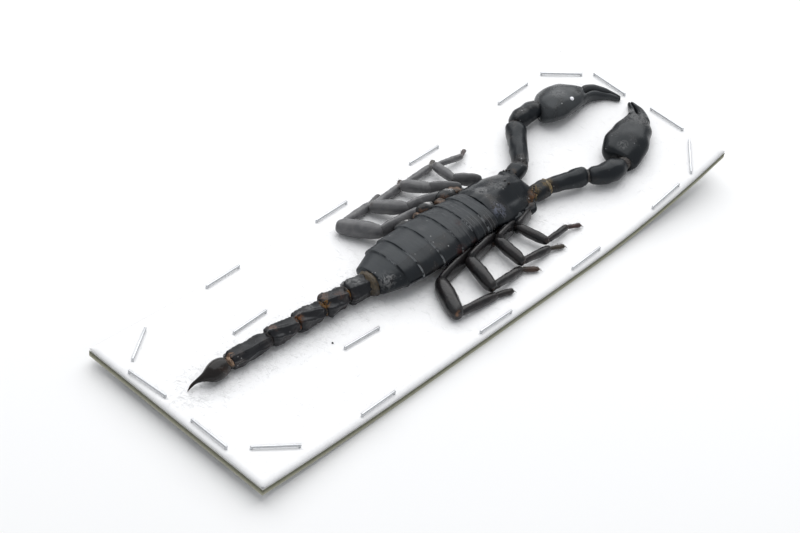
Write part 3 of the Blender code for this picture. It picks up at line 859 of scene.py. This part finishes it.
LEFT_LEGS = (
    ((-4.8, 27.0, 1.3), (-7.8, 25.4, 2.6), (-11.4, 20.5, 3.4), (-17.7, 21.3, 2.7),
     (-16.9, 29.7, 1.4), (-18.2, 32.2, 1.0)),
    ((-5.0, 21.4, 1.2), (-8.6, 19.4, 2.9), (-12.7, 14.0, 3.4), (-17.8, 10.3, 2.7),
     (-19.1, 21.6, 1.2), (-20.3, 23.8, 0.9)),
    ((-5.0, 16.2, 1.1), (-9.0, 14.8, 3.0), (-11.3, 4.7, 3.6), (-17.4, 0.2, 2.3),
     (-18.8, 10.8, 1.2), (-20.4, 12.8, 0.9)),
    ((-5.0, 9.8, 1.0), (-8.7, 7.8, 2.9), (-9.9, -5.3, 3.1), (-17.8, -9.8, 2.0),
     (-18.9, 0.8, 1.2), (-20.0, 5.2, 0.9)),
)
LEG_WIDTHS = ((1.3, 2.0, 2.2, 1.5, 1.0), (1.4, 2.2, 2.7, 1.8, 1.1), (1.4, 2.3, 3.1, 2.0, 1.2),
              (1.4, 2.4, 3.7, 2.1, 1.3))
LEG_HEIGHTS = (1.0, 1.55, 1.05, 1.0, 0.9)
HIP = ((0.0, 0.5), (0.08, 0.72), (0.3, 0.95), (0.55, 1.05), (0.8, 1.0), (0.93, 0.8), (1.0, 0.5))
THIGH = ((0.0, 0.42), (0.015, 0.60), (0.05, 0.76), (0.12, 0.90), (0.25, 1.0), (0.45, 1.04), (0.65, 1.02),
         (0.82, 0.96), (0.92, 0.87), (0.975, 0.74), (1.0, 0.50))
FULL = ((0.0, 0.36), (0.02, 0.58), (0.06, 0.74), (0.14, 0.90), (0.28, 1.0), (0.48, 1.06), (0.68, 1.04),
        (0.84, 0.95), (0.93, 0.83), (0.98, 0.66), (1.0, 0.44))
SHIN = ((0.0, 0.45), (0.02, 0.66), (0.07, 0.80), (0.18, 0.91), (0.35, 0.97), (0.55, 1.02), (0.75, 1.05),
        (0.90, 1.02), (0.97, 0.86), (1.0, 0.58))


def flat_section(sides, sharp):
    """A section whose upper and lower edges are drawn out into a ridge."""
    section = []
    for turn in turns_round(sides):
        ridge = 1.0 + sharp * (abs(math.sin(turn)) ** 8)
        section.append((math.cos(turn) * (1.0 - 0.5 * sharp), math.sin(turn) * ridge))
    return section


def article(start, end, width, height, profile, section, lap):
    """One hard article of a limb: a blunt closed shell that laps a little over its joints."""
    start, end = on_pad(*start), on_pad(*end)
    way = (end - start).normalized()
    start, end = start - way * (lap * width * MM), end + way * (lap * width * MM)
    return draw_out("article", [ring_across(start.lerp(end, share), way, width * size, width * size * height, section)
                                for share, size in profile], 1)


def limb(name, joints, widths, heights, profiles, sections, lap=0.2):
    """A limb's hard articles from joint to joint, in one mesh."""
    rows = zip(joints, joints[1:], widths, heights, profiles, sections)
    return join_all(name, [article(*row, lap) for row in rows])


def hook(start, way, side, length, width):
    """One small foot claw, curving down and to its side."""
    rings = []
    for step in range(6):
        share = step / 5
        centre = start + way * (length * share * MM) + side * (0.28 * length * share * MM)
        centre = centre - UP * (0.42 * length * share * share * MM)
        rings.append(ring_across(centre, (way - UP * 0.5 * share).normalized(), width * (1.05 - share),
                                 width * (1.05 - share), round_section(8)))
    return draw_out("hook", rings, 1)


def leg_material(name, dark, haze, foot, toe, knee, knee_tint):
    """Black leg shell that turns brown towards the foot; the far legs are given lighter greys, painted haze over the
    far side.
    """
    material, places, shader = new_material(name)
    cloud = places.noise(420.0, 3.0, 0.8)
    fine = places.noise(2800.0, 4.0, 1.2)
    colour = places.mix(dark, haze, cloud.step(0.35, 0.75))
    brown = places.near(toe, 1.6, 5.0)
    colour = colour.blend(brown * (0.45 + 0.9 * (fine - 0.5)), foot)
    colour = colour.blend(places.near(knee, 0.3, 1.0) * cloud.step(0.42, 0.6), knee_tint)
    streaks = places.noise(1500.0, 5.0, 3.0)
    colour = colour.blend(streaks.step(0.66, 0.74) * 0.35, (0.11, 0.09, 0.08))
    plug(shader.inputs, {"Base Color": colour, "Roughness": 0.16 + 0.12 * fine + 0.15 * brown,
                         "Specular IOR Level": 0.36})
    bumps(places, shader, cloud + 0.5 * fine, 0.6, 0.15)
    return material


FOOT_COLOURS = ((0.075, 0.028, 0.020), (0.062, 0.044, 0.020), (0.085, 0.040, 0.020), (0.016, 0.012, 0.008))
leg_sections = (ROUND_14, flat_section(14, 0.10), ROUND_14, flat_section(14, 0.06), ROUND_14)
knee_skins = []
bristle_roots, bristle_ways, bristle_lengths = [], [], []
dice = np.random.default_rng(5)
for word, legs in (("left", LEFT_LEGS), ("right", RIGHT_LEGS)):
    for number, joints in enumerate(legs, start=1):
        widths = LEG_WIDTHS[number - 1]
        # The near legs' thighs are made taller than the far ones, partly to fill the shade beneath them: a dark plate
        # standing in for painted shade.
        plate = 1.0 if word == "left" else 1.2
        heights = [LEG_HEIGHTS[0], LEG_HEIGHTS[1] * plate, *LEG_HEIGHTS[2:]]
        leg = limb("leg_shell_%s_%d" % (word, number), joints, [width * 1.05 for width in widths], heights,
                   (HIP, THIGH, FULL, SHIN, SHIN), leg_sections)
        roughen(leg, 1.5, 0.14, number)
        roughen(leg, 0.5, 0.03, number)
        places = [on_pad(*joint) for joint in joints]
        toe = places[5]
        way = (toe - places[4]).normalized()
        side = way.cross(UP).normalized()
        hooks = [hook(toe - way * 0.1 * MM, way, side * turn, 1.25, 0.34) for turn in (-1.0, 1.0)]
        leg = join_all(leg.name, [leg] + hooks)
        # Painted haze: the far legs are given much lighter greys than the near ones, standing in for glare over the
        # far side.
        far = word == "left"
        dark = (0.098, 0.098, 0.102) if far else (0.010, 0.010, 0.011)
        haze = (0.145, 0.144, 0.146) if far else (0.017, 0.014, 0.014)
        knee_tint = (0.24, 0.115, 0.055) if leg.name == "leg_shell_right_4" else (0.045, 0.026, 0.020)
        knee = places[3] + Vector((0.2, -0.2, 0.6)) * MM
        material = leg_material(leg.name, dark, haze, FOOT_COLOURS[number - 1], toe, knee, knee_tint)
        finish_piece(leg, material, "leg_cuticle", "leg_%s_%d" % (word, number))
        for joint, size in ((1, 0.85), (2, 0.72), (3, 0.74), (4, 0.8)):
            width = min(widths[joint - 1], widths[joint]) * size
            knee_skins.append(collar("knee", places[joint], bend_way(places, joint), width, width, 1.0))
        for shin, count in ((3, 26), (4, 30)):
            start, end = places[shin], places[shin + 1]
            shin_way = (end - start).normalized()
            across = shin_way.cross(UP).normalized()
            for _ in range(count):
                share = dice.uniform(0.1, 0.98)
                turn = dice.uniform(-0.6, math.pi + 0.6)
                out = across * math.cos(turn) + UP * math.sin(turn)
                radius = widths[shin] * 0.42 * MM
                bristle_roots.append(start.lerp(end, share) + out * radius)
                bristle_ways.append((out + shin_way * 0.9).normalized())
                bristle_lengths.append(dice.uniform(0.35, 0.9) * MM)

knee_spots = ((17.8, -11.0, 2.2, 1.5, (0.22, 0.10, 0.05)),)
knee_skin = skin_material("knee_skin", (0.016, 0.011, 0.009), (0.055, 0.030, 0.020), 0.35, knee_spots)
finish_piece(join_all("knee_skin", knee_skins), knee_skin, "leg_cuticle")
bristles = strands("foot_bristles", bristle_roots, bristle_ways, bristle_lengths, 0.06 * MM, 0.1, 0.05)
finish_piece(bristles, jaw_shell, "leg_cuticle")

# The far legs' hips have come up beside the body as it dried. Each is a glossy dome
# with a painted highlight along its upper rim, and reddish-brown skin shows between them.
HIPS = (
    ((-8.0, 13.9, 4.1), 5.4, 3.4, 3.2), ((-7.9, 7.0, 4.1), 5.6, 3.4, 3.2), ((-6.7, -0.7, 4.3), 6.2, 3.2, 3.0),
)
HIP_SKINS = (
    ((-8.0, 17.2, 4.0), 3.0, 2.0, 1.5), ((-6.9, 11.0, 4.6), 3.2, 2.0, 1.5), ((-6.7, 3.6, 4.6), 3.2, 2.2, 1.5),
    ((-6.3, -4.4, 4.4), 2.6, 1.8, 1.2),
)
NEAR_HIPS = (
    ((6.2, 27.0, 2.2), 3.6, 2.6, 2.8), ((6.5, 22.6, 2.2), 4.6, 2.8, 3.0), ((6.8, 17.2, 2.1), 4.8, 2.8, 3.0),
    ((7.0, 11.4, 1.9), 5.0, 2.8, 2.8), ((6.9, 6.4, 1.7), 4.4, 2.6, 2.4),
)


def dome(centre, length, width, height, heading, crumple=0.28):
    """A rounded shell that lies along its heading, crumpled as it dried."""
    way = Vector((math.sin(heading), math.cos(heading), 0.0))
    rings = []
    for share in (-0.985, -0.92, -0.78, -0.55, -0.25, 0.1, 0.42, 0.68, 0.86, 0.95, 0.99):
        size = math.sqrt(1.0 - share * share)
        rings.append(ring_across(on_pad(*centre) + way * (share * length / 2 * MM), way, width * size, height * size,
                                 ROUND_14))
    shell = draw_out("dome", rings, 1)
    roughen(shell, 1.3, crumple, centre[1])
    return shell


hip_marks = []
for (x, y, z), length, width, height in HIPS:
    # Painted highlight: a near-white patch on each dome's upper rim.
    hip_marks.append((x - 0.6, y + 1.2, z + height * 0.50, 1.6, (0.50, 0.49, 0.48), 1.0))
    hip_marks.append((x + 1.0, y - 1.6, z + height * 0.2, 1.7, (0.10, 0.055, 0.035), 1.0))
hip_shell = shell_material("hip_shell", (0.020, 0.020, 0.021), BROWN_BLACK, 0.5, hip_marks, 0.16, 0.8)
finish_piece(join_all("hip_domes", [dome(*hip, 0.3) for hip in HIPS]), hip_shell, "leg_cuticle")
hip_skin = skin_material("hip_skin", (0.020, 0.014, 0.011), (0.13, 0.075, 0.045), 0.35)
finish_piece(join_all("hip_skin", [dome(*hip, 0.5, 0.6) for hip in HIP_SKINS]), hip_skin, "leg_cuticle")
near_hips = join_all("near_hips", [dome(*hip, -0.15, 0.7) for hip in NEAR_HIPS])
finish_piece(near_hips, jaw_shell, "leg_cuticle")

# The arms: a short base under the head, a round second article, a thigh, a full forearm
# and the claw. Ochre skin shows at their roots.
LEFT_ARM = ((-3.9, 29.5, 1.8), (-3.6, 31.9, 2.4), (-4.4, 35.9, 3.0), (-13.8, 44.8, 3.3))
RIGHT_ARM = ((3.9, 29.4, 1.8), (3.4, 31.4, 2.4), (4.2, 34.8, 2.9), (7.9, 43.9, 3.1))
ARM_WIDTHS = {"left": (2.3, 4.4, 5.0), "right": (2.3, 4.6, 4.6)}
ARM_SKINS = {"left": ((1, 3.2, 1.8), (2, 3.6, 1.6)), "right": ((1, 3.9, 1.8), (2, 4.5, 1.6))}
LEFT_FOREARM = (
    (-14.3, 45.45, 3.3, 3.0), (-14.45, 45.7, 3.3, 3.7), (-14.8, 46.6, 3.3, 4.6), (-14.9, 47.7, 3.3, 4.9),
    (-14.9, 48.9, 3.3, 5.0), (-15.0, 50.1, 3.3, 5.0), (-14.9, 51.3, 3.3, 4.9), (-14.7, 52.3, 3.3, 4.8),
    (-14.4, 53.1, 3.3, 4.5), (-14.2, 53.8, 3.3, 3.4),
)
RIGHT_FOREARM = (
    (8.7, 44.5, 3.1, 2.9), (8.9, 44.8, 3.1, 3.6), (9.6, 45.7, 3.1, 4.6), (10.4, 47.0, 3.1, 5.2),
    (11.1, 48.5, 3.1, 5.5), (11.5, 50.0, 3.1, 5.5), (11.65, 51.3, 3.1, 5.2), (11.7, 52.4, 3.1, 4.2),
    (11.7, 52.9, 3.1, 3.4), (11.7, 53.2, 3.1, 2.6),
)
ROUND_20 = round_section(20)
ARM_BASE = ((0.0, 0.55), (0.06, 0.78), (0.3, 0.95), (0.55, 1.0), (0.8, 1.0), (0.94, 0.85), (1.0, 0.6))
ARM_ROUND = ((0.0, 0.52), (0.03, 0.70), (0.10, 0.84), (0.25, 0.95), (0.45, 1.0), (0.65, 1.02), (0.82, 0.96),
             (0.94, 0.82), (1.0, 0.56))
ARM_THIGH = ((0.0, 0.50), (0.02, 0.66), (0.07, 0.78), (0.16, 0.83), (0.30, 0.86), (0.46, 0.89), (0.62, 0.94),
             (0.76, 1.02), (0.86, 1.05), (0.93, 0.98), (0.98, 0.82), (1.0, 0.58))
arm_skins = []
for word, arm, forearm in (("left", LEFT_ARM, LEFT_FOREARM), ("right", RIGHT_ARM, RIGHT_FOREARM)):
    shell = limb("arm_shell_" + word, arm, ARM_WIDTHS[word], (0.9, 0.92, 0.94), (ARM_BASE, ARM_ROUND, ARM_THIGH),
                 (ROUND_20, ROUND_20, flat_section(20, 0.05)), 0.12)
    roughen(shell, 2.0, 0.30, 2.0)
    roughen(shell, 0.6, 0.06, 4.0)
    # Painted haze: the far arm gets more grey than the near one, standing in for glare over the far side.
    haze = 0.35 if word == "left" else 0.15
    arm_marks = ((4.2, 34.5, 4.8, 1.9, OCHRE, 1.0), (3.7, 31.5, 4.0, 1.7, OCHRE, 1.0),
                 (6.8, 42.6, 5.0, 1.3, PALE_DUST, 0.6), (8.2, 44.4, 4.2, 1.6, (0.05, 0.028, 0.022), 0.8),
                 (-3.6, 31.6, 4.4, 1.6, (0.08, 0.05, 0.03), 0.7))
    arm_shell = shell_material("arm_shell_" + word, BLACK, BROWN_BLACK, haze, arm_marks, 0.24, 0.5)
    finish_piece(shell, arm_shell, "body_cuticle", "arm_" + word)
    front = draw_out("forearm_shell_" + word, route_rings(forearm, flat_section(20, 0.04), 0.92), 1)
    roughen(front, 2.2, 0.34, 6.0)
    roughen(front, 0.6, 0.03, 7.0)
    finish_piece(front, arm_shell, "body_cuticle", "forearm_" + word)
    places = [on_pad(*joint) for joint in arm]
    for joint, width, length in ARM_SKINS[word]:
        way = bend_way(places, joint)
        arm_skins.append(collar("arm_skin", places[joint], way, width, width * 0.9, length))
    elbow = (places[3] + on_pad(*forearm[0][:3])) / 2
    turn = (on_pad(*forearm[1][:3]) - places[2]).normalized()
    arm_skins.append(collar("arm_skin", elbow, turn, 3.4, 3.1, 2.2))
    wrist = on_pad(*forearm[-1][:3]) + Vector((0.0, 0.3, 0.0)) * MM
    arm_skins.append(collar("arm_skin", wrist, Vector((0.0, 1.0, 0.0)), 3.4, 3.0, 2.8))
arm_spots = ((3.6, 31.4, 2.6, 3.6, (0.24, 0.175, 0.075)), (4.2, 34.6, 3.3, 3.2, (0.20, 0.145, 0.065)),
             (-3.6, 31.9, 2.6, 2.0, (0.07, 0.045, 0.022)))
ochre = skin_material("ochre_skin", (0.014, 0.012, 0.011), (0.030, 0.022, 0.018), 0.35, arm_spots)
finish_piece(join_all("arm_skin", arm_skins), ochre, "body_cuticle")

# Each claw is a broad smooth hand that runs on into its fixed finger. The movable finger
# is a piece of its own, hinged at the hand's outer edge and closed on the fixed one.
LEFT_PALM = (
    (-13.2, 53.2, -16.3, 54.6, 3.4), (-11.6, 51.8, -17.4, 56.2, 4.5), (-9.5, 52.3, -17.3, 58.5, 5.6),
    (-7.9, 54.4, -16.5, 61.6, 6.0), (-7.4, 57.2, -14.8, 63.6, 5.5), (-7.5, 60.0, -12.8, 64.8, 4.8),
    (-7.6, 62.1, -11.4, 65.8, 4.2),
)
RIGHT_PALM = (
    (10.3, 53.8, 13.0, 54.3, 3.2), (7.0, 52.6, 14.1, 55.0, 4.3), (4.7, 54.1, 14.1, 57.6, 5.4),
    (3.4, 57.2, 13.0, 60.8, 5.8), (2.8, 60.4, 11.5, 63.4, 5.3), (2.8, 63.0, 9.9, 65.8, 4.6),
    (2.5, 64.9, 8.5, 67.1, 4.1),
)
LEFT_FINGERS = (
    (-7.7, 62.6, -9.4, 64.4, -11.3, 66.3, 3.9), (-7.7, 65.1, -8.8, 66.7, -10.1, 68.4, 3.2),
    (-6.8, 67.2, -7.5, 68.3, -8.5, 69.6, 2.5), (-5.3, 68.9, -5.8, 69.7, -6.4, 70.5, 1.8),
    (-2.8, 70.4, -3.1, 70.8, -3.4, 71.2, 1.0),
)
RIGHT_FINGERS = (
    (2.5, 65.5, 4.9, 66.5, 8.1, 67.7, 3.7), (2.1, 66.8, 3.9, 67.8, 6.4, 69.1, 3.1),
    (1.3, 68.2, 2.6, 69.2, 4.3, 70.4, 2.4), (0.4, 69.4, 1.2, 70.2, 2.2, 71.1, 1.7),
    (-0.9, 70.8, -0.6, 71.2, -0.2, 71.5, 1.0),
)
CLAW_FLOOR = 0.4
CLAW_REACH = 0.515
FINGER_GAP = 0.05


def between(rows, share):
    """A row of claw numbers partway along its rows, on a smooth curve through them."""
    spot = share * (len(rows) - 1)
    index = min(int(spot), len(rows) - 2)
    part = spot - index
    near = [rows[max(index - 1, 0)], rows[index], rows[index + 1], rows[min(index + 2, len(rows) - 1)]]
    a, b, c, d = [np.array(row, float) for row in near]
    return b + 0.5 * part * (c - a + part * (2 * a - 5 * b + 4 * c - d + part * (3 * (b - c) + d - a)))


def claw_ring(inner, outer, height, section):
    centre = on_pad((inner[0] + outer[0]) / 2, (inner[1] + outer[1]) / 2, CLAW_FLOOR + height / 2)
    across = Vector((outer[0] - inner[0], outer[1] - inner[1], 0.0)) * (CLAW_REACH * MM)
    return [centre + across * x + UP * (height * CLAW_REACH * z * MM) for x, z in section]


def claw_section(sides=24):
    """A claw cut across: round, with a faint keel along the top towards the inner edge."""
    section = []
    for turn in turns_round(sides):
        keel = 1.0 + 0.025 * bell(turn - 2.2, 0.0256) + 0.02 * bell(turn - 1.1, 0.0256)
        section.append((math.cos(turn) * keel, math.sin(turn) * keel))
    return section


def add_claw(word, palm, fingers):
    section = claw_section()
    hand, finger = [], []
    for step in range(17):
        row = between(palm, step / 16)
        hand.append(claw_ring(row[0:2], row[2:4], row[4], section))
    for step in range(15):
        row = between(fingers, step / 14)
        inner, middle, outer = row[0:2], row[2:4], row[4:6]
        across = (outer - inner) / np.linalg.norm(outer - inner)
        hand.append(claw_ring(inner, middle - across * FINGER_GAP, row[6], section))
        finger.append(claw_ring(middle + across * FINGER_GAP, outer, row[6], section))
        if step == 0:
            back = np.array([across[1], -across[0]])
            back *= math.copysign(0.7, back @ (np.array(palm[-2][:2]) - inner))
            tuck = across * 0.3
            hand.insert(-1, claw_ring(inner + back * 0.15, outer + back * 0.15, row[6], section))
            finger.insert(0, claw_ring(middle + tuck + back, outer - tuck + back, row[6] * 0.9, section))
    centre = sum(hand[0], Vector()) / len(section)
    ahead = sum(hand[2], Vector()) / len(section)
    heel = (centre - ahead).normalized() * (0.6 * MM)
    hand.insert(0, [centre + (place - centre) * 0.62 + heel for place in hand[0]])
    shell = draw_out("hand_shell_" + word, hand, 1)
    roughen(shell, 3.2, 0.34, 11.0)
    moving = draw_out("finger_shell_" + word, finger, 1)
    roughen(moving, 1.6, 0.06, 13.0)
    return shell, moving


# The left hand's pale marks are painted sheen, like the back's, on the far claw.
claw_marks = {
    "left": ((-12.4, 57.6, 8.4, 2.6, PALE_DUST, 0.35), (-14.4, 60.5, 8.0, 2.6, PALE_DUST, 0.3)),
    "right": ((9.2, 55.4, 8.2, 1.6, PALE_DUST, 0.5), (6.0, 66.0, 8.0, 4.5, PALE_DUST, 0.35)),
}
for word, palm, fingers in (("left", LEFT_PALM, LEFT_FINGERS), ("right", RIGHT_PALM, RIGHT_FINGERS)):
    # Painted haze: the far, left claw is a lighter grey than the near one.
    tint = (0.042, 0.045, 0.048) if word == "left" else (0.010, 0.012, 0.014)
    claw_shell = shell_material("claw_shell_" + word, tint, (0.018, 0.017, 0.017), 0.2,
                                claw_marks[word], 0.20, 0.4)
    shell, moving = add_claw(word, palm, fingers)
    finish_piece(shell, claw_shell, "body_cuticle", "hand_" + word)
    finish_piece(moving, claw_shell, "body_cuticle", "finger_" + word)

# A small near-white bead on the left hand is taken as dried clear glue or varnish; its white colour is a painted
# highlight, standing in for the glint of light there.
bead = add_beads("glint_bead", ((-9.1, 59.0, 5.5, 1.1),))
glint_material, bead_places, bead_shader = new_material("glint_bead")
# Painted highlight: the bead is near white, standing in for the glint of light on the hand.
glint_white = bead_places.mix((0.80, 0.80, 0.84), (0.95, 0.95, 1.0), bead_places.noise(900.0))
plug(bead_shader.inputs, {"Base Color": glint_white, "Roughness": 0.1})
finish_piece(bead, glint_material, "body_cuticle")

# One dark crumb of dried shell has come to rest on the cotton beside the tail.
crumb = add_beads("shell_crumb", ((5.5, -35.8, 0.25, 0.42),))
roughen(crumb, 0.3, 0.06)
finish_piece(crumb, jaw_shell, "body_cuticle")

# The specimen lies on a plain white table, under one broad soft lamp overhead that is
# set back from the viewer, with only a dim room round it.
bpy.ops.mesh.primitive_plane_add(size=4.0, location=(0.0, 0.0, 0.0))
table = bpy.context.object
table.name = "table_top"
table_material, _, table_shader = new_material("white_table")
plug(table_shader.inputs, {"Base Color": (0.86, 0.86, 0.86, 1.0), "Roughness": 0.7})
give(table, table_material)

lamp = bpy.data.lights.new("soft_lamp", "AREA")
lamp.shape = "RECTANGLE"
lamp.size = 1.5
lamp.size_y = 1.5
lamp.energy = 13.9
add_object("soft_lamp", lamp).location = (-0.60, 0.60, 0.60)

room = bpy.data.worlds.new("dim_room")
room.use_nodes = True
plug(room.node_tree.nodes["Background"].inputs, {"Color": (0.95, 0.97, 1.0, 1.0), "Strength": 0.53})
bpy.context.scene.world = room
bpy.context.scene.view_settings.view_transform = "Standard"

# The view of the photo, fitted to the card's four corners.
lens = bpy.data.cameras.new("view")
lens.lens = 90.44
lens.sensor_width = 36.0
lens.clip_start = 0.02
lens.clip_end = 10.0
view = add_object("view", lens)
axes = Matrix(((0.72984, -0.51391, 0.45081), (0.67515, 0.43838, -0.59329), (0.10727, 0.73737, 0.66691)))
view.matrix_world = Matrix.Translation((0.19446, -0.26546, 0.29247)) @ axes.to_4x4()
bpy.context.scene.camera = view
